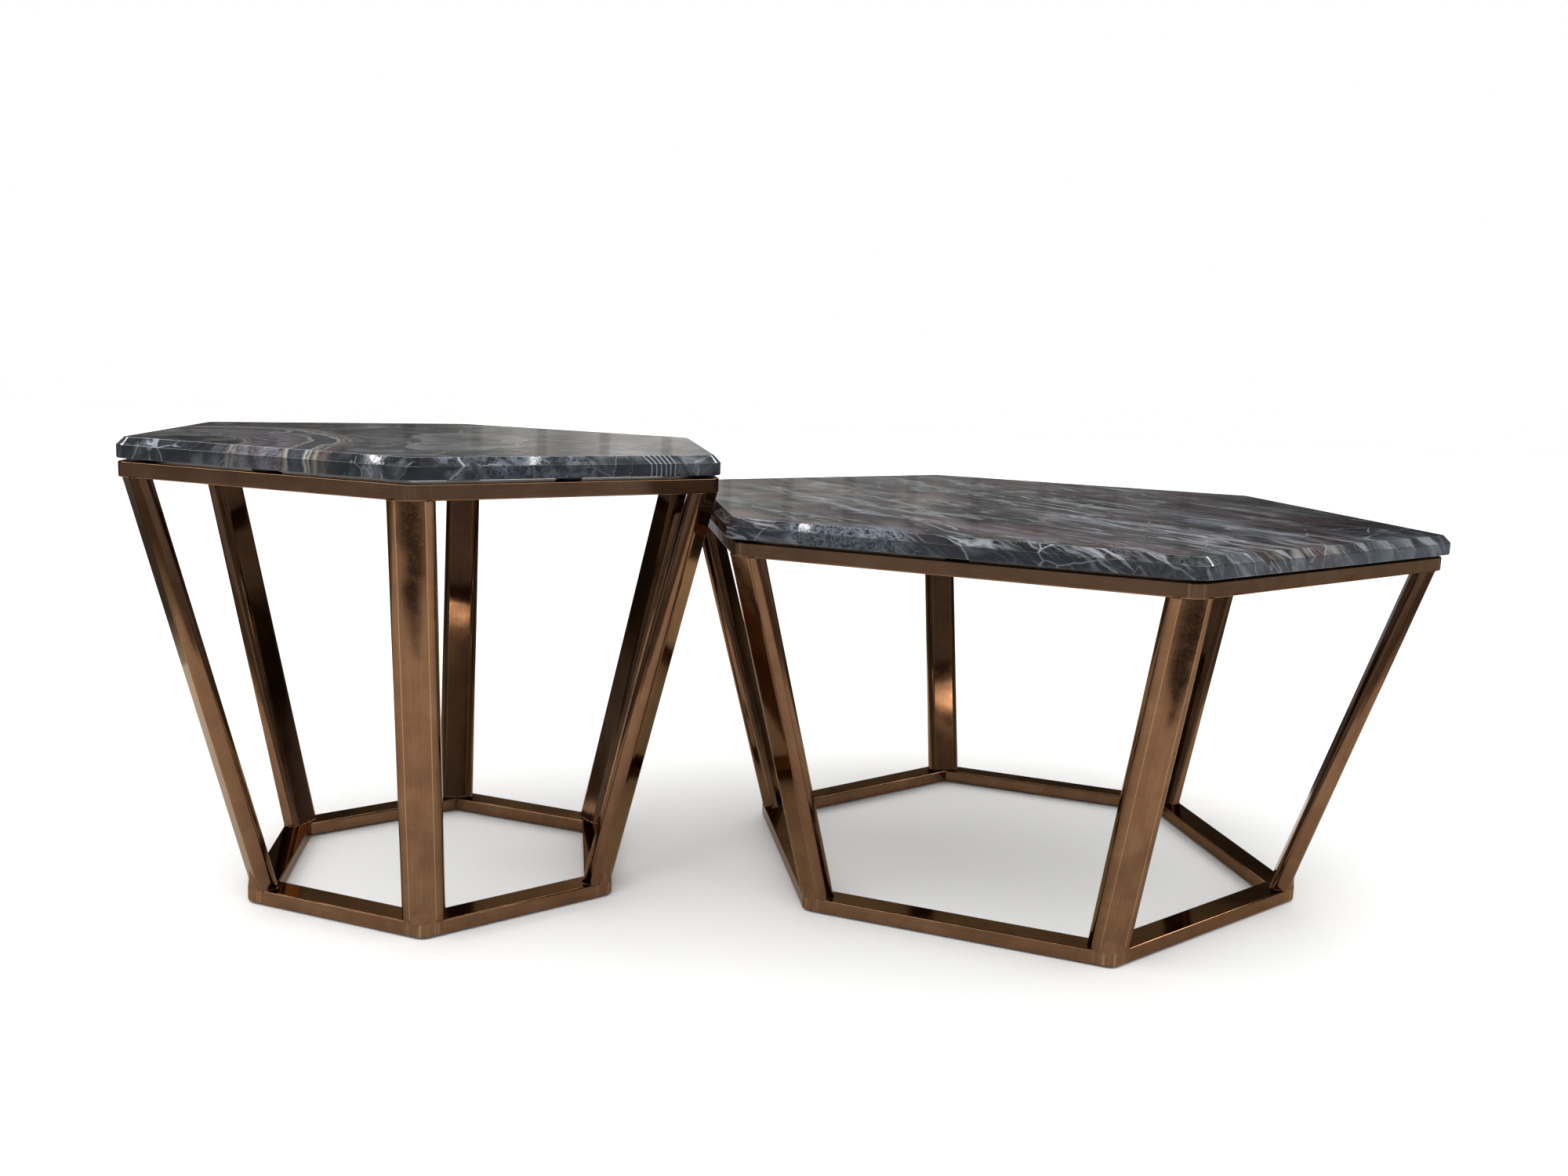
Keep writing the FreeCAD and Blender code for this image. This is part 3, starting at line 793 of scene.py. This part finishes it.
def six_around(tree, piece, given):
    """Set a piece out six times around the table, realize it, give it its finish and close."""
    ring = add(tree, "GeometryNodeMeshCircle", {"Vertices": 6, "Radius": given["Spread"]})
    index = add(tree, "GeometryNodeInputIndex")
    turn = add(tree, "Math", {0: index, 1: SECTOR}, operation="MULTIPLY")
    turned = add(tree, "CombineXYZ", {"Z": turn})
    set_out = add(tree, "GeometryNodeInstanceOnPoints", {"Points": ring, "Instance": piece,
        "Rotation": turned})
    start = add(tree, "CombineXYZ", {"Z": given["Start Turn"]})
    place = add(tree, "CombineXYZ", {"X": given["Middle X"], "Y": given["Middle Y"],
        "Z": given["Level"]})
    placed = add(tree, "GeometryNodeTransform", {"Geometry": set_out, "Translation": place,
        "Rotation": start})
    real = add(tree, "GeometryNodeRealizeInstances", {"Geometry": placed})
    smooth = add(tree, "GeometryNodeSetShadeSmooth", {"Geometry": real})
    finished = add(tree, "GeometryNodeSetMaterial", {"Geometry": smooth, "Material": given["Finish"]})
    add(tree, "NodeGroupOutput", {"Geometry": finished})


PLACING = ("Spread", "Start Turn", "Middle X", "Middle Y", "Level")


def pressed_pads_tree():
    """Six pressed pads: round or square in plan, flat faced, with a rounded, slightly rough rim."""
    tree, given = new_geometry_tree("pressed pads", PLACING + ("Width", "Height", "Plan Power",
        "Rim Power", "Tooth", "Tooth Size"))
    ball = add(tree, "GeometryNodeMeshIcoSphere", {"Radius": 1.0, "Subdivisions": 5})
    point = add(tree, "GeometryNodeInputPosition")
    parts = add(tree, "SeparateXYZ", {"Vector": point})
    powers = {}
    for axis, power in (("X", "Plan Power"), ("Y", "Plan Power"), ("Z", "Rim Power")):
        size = add(tree, "Math", {0: parts.outputs[axis]}, operation="ABSOLUTE")
        raised = add(tree, "Math", {0: size, 1: given[power]}, operation="POWER")
        powers[axis] = raised
    plan = add(tree, "Math", {0: powers["X"], 1: powers["Y"]}, operation="ADD")
    ratio = add(tree, "Math", {0: given["Rim Power"], 1: given["Plan Power"]}, operation="DIVIDE")
    level = add(tree, "Math", {0: plan, 1: ratio}, operation="POWER")
    total = add(tree, "Math", {0: level, 1: powers["Z"]}, operation="ADD")
    root = add(tree, "Math", {0: -1.0, 1: given["Rim Power"]}, operation="DIVIDE")
    reach = add(tree, "Math", {0: total, 1: root}, operation="POWER")
    squared = add(tree, "VectorMath", {0: point, "Scale": reach}, operation="SCALE")
    half = add(tree, "CombineXYZ", {"X": given["Width"], "Y": given["Width"], "Z": given["Height"]})
    halved = add(tree, "VectorMath", {0: half, "Scale": 0.5}, operation="SCALE")
    shape = add(tree, "VectorMath", {0: squared, 1: halved}, operation="MULTIPLY")
    tooth = add(tree, "TexNoise", {"Vector": shape, "Detail": 3.0, "Scale": given["Tooth Size"]})
    depth = add(tree, "Math", {0: tooth, 1: given["Tooth"]}, operation="MULTIPLY")
    inward = add(tree, "VectorMath", {0: shape}, operation="NORMALIZE")
    sunk = add(tree, "Math", {0: depth, 1: -1.0}, operation="MULTIPLY")
    rough = add(tree, "VectorMath", {0: inward, "Scale": sunk}, operation="SCALE")
    pad = add(tree, "GeometryNodeSetPosition", {"Geometry": ball, "Position": shape, "Offset": rough})
    six_around(tree, pad, given)
    return tree


def weld_beads_tree():
    """Six thin dressed weld beads, each around a leg where it meets a ring."""
    tree, given = new_geometry_tree("weld beads", PLACING + ("Leg Depth", "Leg Width", "Corner",
        "Bead"))
    outline = add(tree, "GeometryNodeCurvePrimitiveQuadrilateral",
        {"Width": given["Leg Depth"], "Height": given["Leg Width"]})
    rounded = add(tree, "GeometryNodeFilletCurve", {"Curve": outline, "Count": 10,
        "Radius": given["Corner"]}, mode="POLY")
    even = add(tree, "GeometryNodeResampleCurve", {"Curve": rounded, "Count": 120})
    point = add(tree, "GeometryNodeInputPosition")
    ripple = add(tree, "TexNoise", {"Vector": point, "Scale": per_mm(4.0), "Detail": 2.0})
    swell = add(tree, "MapRange", {"Value": ripple, 1: 0.3, 2: 0.7, 3: 0.7, 4: 1.25})
    uneven = add(tree, "GeometryNodeSetCurveRadius", {"Curve": even, "Radius": swell})
    section = add(tree, "GeometryNodeCurvePrimitiveCircle", {"Resolution": 10, "Radius": given["Bead"]})
    bead = add(tree, "GeometryNodeCurveToMesh", {"Curve": uneven, "Profile Curve": section,
        "Scale": swell})
    six_around(tree, bead, given)
    return tree


def grown(name, tree, values):
    """Grow a piece from a geometry tree and keep it as a plain mesh."""
    piece = bpy.data.objects.new(name, bpy.data.meshes.new(name))
    bpy.context.scene.collection.objects.link(piece)
    modifier = piece.modifiers.new("growth", "NODES")
    modifier.node_group = tree
    for item in tree.interface.items_tree:
        if item.in_out == "INPUT":
            modifier[item.identifier] = values[item.name]
    settled = piece.evaluated_get(bpy.context.evaluated_depsgraph_get())
    mesh = bpy.data.meshes.new_from_object(settled)
    piece.modifiers.remove(modifier)
    piece.data = mesh
    return piece


def closed_shell(name, points, faces, material):
    """A smooth shaded closed mesh whose faces point outwards."""
    mesh = bpy.data.meshes.new(name)
    mesh.from_pydata(points, [], faces)
    shell = bmesh.new()
    shell.from_mesh(mesh)
    bmesh.ops.remove_doubles(shell, verts=shell.verts, dist=0.001 * MM)
    bmesh.ops.recalc_face_normals(shell, faces=shell.faces)
    shell.to_mesh(mesh)
    shell.free()
    mesh.shade_smooth()
    mesh.set_sharp_from_angle(angle=math.radians(35.0))
    mesh.materials.append(material)
    piece = bpy.data.objects.new(name, mesh)
    bpy.context.scene.collection.objects.link(piece)
    return piece


def placing(table, spread, start_turn, level, finish):
    middle = place_of(table)
    return {"Spread": spread, "Start Turn": start_turn, "Middle X": middle.x, "Middle Y": middle.y,
        "Level": level, "Finish": finish}


def make_top_pads(table, tree, rubber):
    node = f"{table}_top_pads"
    low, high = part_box(node)
    values = placing(table, (high.x - low.x - PAD_SIDE) / 2, 0.0, (low.z + high.z) / 2, rubber)
    values.update({"Width": PAD_SIDE, "Height": high.z - low.z, "Plan Power": 9.0, "Rim Power": 5.0,
        "Tooth": PAD_TOOTH, "Tooth Size": per_mm(1.5)})
    pads = grown(f"{table}_stone_pads", tree, values)
    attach(pads, f"{table}_frame")
    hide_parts(node)


def make_floor_glides(table, tree, felt):
    node = f"{table}_floor_glides"
    low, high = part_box(node)
    values = placing(table, (high.y - low.y - GLIDE_DIAMETER) / 2, FRONT, (low.z + high.z) / 2, felt)
    values.update({"Width": GLIDE_DIAMETER, "Height": high.z - low.z, "Plan Power": 2.0,
        "Rim Power": 6.0, "Tooth": GLIDE_TOOTH, "Tooth Size": per_mm(0.8)})
    glides = grown(f"{table}_felt_glides", tree, values)
    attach(glides, f"{table}_frame")
    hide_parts(node)


def leg_section(table, level):
    """How far in and out the front leg reaches at a level, counted from the table's middle."""
    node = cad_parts[f"{table}_leg_front"]
    middle = place_of(table)
    reaches = [middle.y - v.co.y for v in node.data.vertices if abs(v.co.z - level) < 0.05 * MM]
    return min(reaches), max(reaches)


def make_weld_beads(table, tree, weld):
    low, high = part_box(f"{table}_leg_front")
    for end, level in (("foot", low.z), ("head", high.z)):
        inner, outer = leg_section(table, level)
        values = placing(table, (inner + outer) / 2, FRONT, level, weld)
        values.update({"Leg Depth": outer - inner, "Leg Width": high.x - low.x, "Corner": LEG_CORNER,
            "Bead": BEAD_RADIUS})
        beads = grown(f"{table}_{end}_welds", tree, values)
        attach(beads, f"{table}_frame")


def make_foot_fillets(table, weld):
    """Weld metal that fills the ledge between a leg's foot and the ring's corner, ground flush."""
    middle = place_of(table)
    low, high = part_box(f"{table}_leg_front")
    ring_low, ring_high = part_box(f"{table}_base_rail_front_right")
    level = low.z
    inner, outer = leg_section(table, level)
    lean = (middle.y - low.y - outer) / (high.z - low.z)
    arc_middle = middle.y - ring_low.y - RING_CORNER
    corner = arc_middle + RING_CORNER / math.cos(SECTOR / 2)
    reach = (corner - outer) * math.tan(SECTOR)
    points = []
    for i in range(FILLET_STEPS + 1):
        across = FILLET_REACH * reach * (2.0 * i / FILLET_STEPS - 1.0)
        if abs(across) < RING_CORNER / 2:
            edge = arc_middle + math.sqrt(RING_CORNER ** 2 - across ** 2)
        else:
            edge = corner - abs(across) / math.tan(SECTOR)
        height = FILLET_RISE * (1.0 - (across / reach) ** 2)
        foot = Vector((edge, level - RING_EDGE))
        head = Vector((outer + height * lean, level + height))
        for j in range(FILLET_ROWS + 1):
            share = j / FILLET_ROWS
            hollow = FILLET_HOLLOW * math.sin(math.pi * share) * (head - foot).length
            spot = foot.lerp(head, share)
            points.append((across, spot.x - hollow, spot.y))
        points.append((across, head.x - WELD_ROOT, head.y))
        points.append((across, outer - WELD_ROOT, level - RING_EDGE))
    section = FILLET_ROWS + 3
    faces = []
    for i in range(FILLET_STEPS):
        for j in range(section):
            following = (j + 1) % section
            faces.append((i * section + j, i * section + following, (i + 1) * section + following,
                (i + 1) * section + j))
    faces.append(tuple(range(section)))
    faces.append(tuple(FILLET_STEPS * section + j for j in range(section)))
    all_points = []
    all_faces = []
    for k in range(len(CORNERS)):
        turn = FRONT + SECTOR * k
        first = len(all_points)
        for across, out, z in points:
            all_points.append((middle.x + out * math.cos(turn) - across * math.sin(turn),
                middle.y + out * math.sin(turn) + across * math.cos(turn), z))
        all_faces += [tuple(first + n for n in face) for face in faces]
    fillets = closed_shell(f"{table}_foot_fillets", all_points, all_faces, weld)
    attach(fillets, f"{table}_frame")


# ---------------------------------------------------------------- the whole pair

def dress(node, material):
    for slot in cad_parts[node].material_slots:
        slot.material = material


def finish_frame(table):
    """Give every tube of a frame its own direction of polish."""
    centre = place_of(table)
    for ring in ("top", "base"):
        low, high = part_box(f"{table}_{ring}_rail_right")
        half_length = (high.y - low.y) / 2
        for k, side in enumerate(SIDES):
            turn = FRONT + SECTOR * (k + 0.5) + math.pi / 2
            dress(f"{table}_{ring}_rail_{side}", polished_bronze(f"bronze_{table}_{ring}_{side}",
                centre, turn, half_length=half_length))
    low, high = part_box(f"{table}_leg_front")
    lean = math.atan2(leg_section(table, high.z)[1] - leg_section(table, low.z)[1], high.z - low.z)
    for k, corner in enumerate(CORNERS):
        dress(f"{table}_leg_{corner}", polished_bronze(f"bronze_{table}_leg_{corner}", centre,
            FRONT + SECTOR * k, lean=lean - math.pi / 2, face_half=LEG_FACE_HALF))


make_studio()
rubber = black_rubber()
felt = brown_felt()
weld = ground_weld()
pads_tree = pressed_pads_tree()
beads_tree = weld_beads_tree()
for table in TABLES:
    finish_frame(table)
    make_top_pads(table, pads_tree, rubber)
    make_floor_glides(table, pads_tree, felt)
    make_weld_beads(table, beads_tree, weld)
    make_foot_fillets(table, weld)
dress("small_stone_top", small_marble(place_of("small")))
dress("large_stone_top", large_marble(place_of("large")))
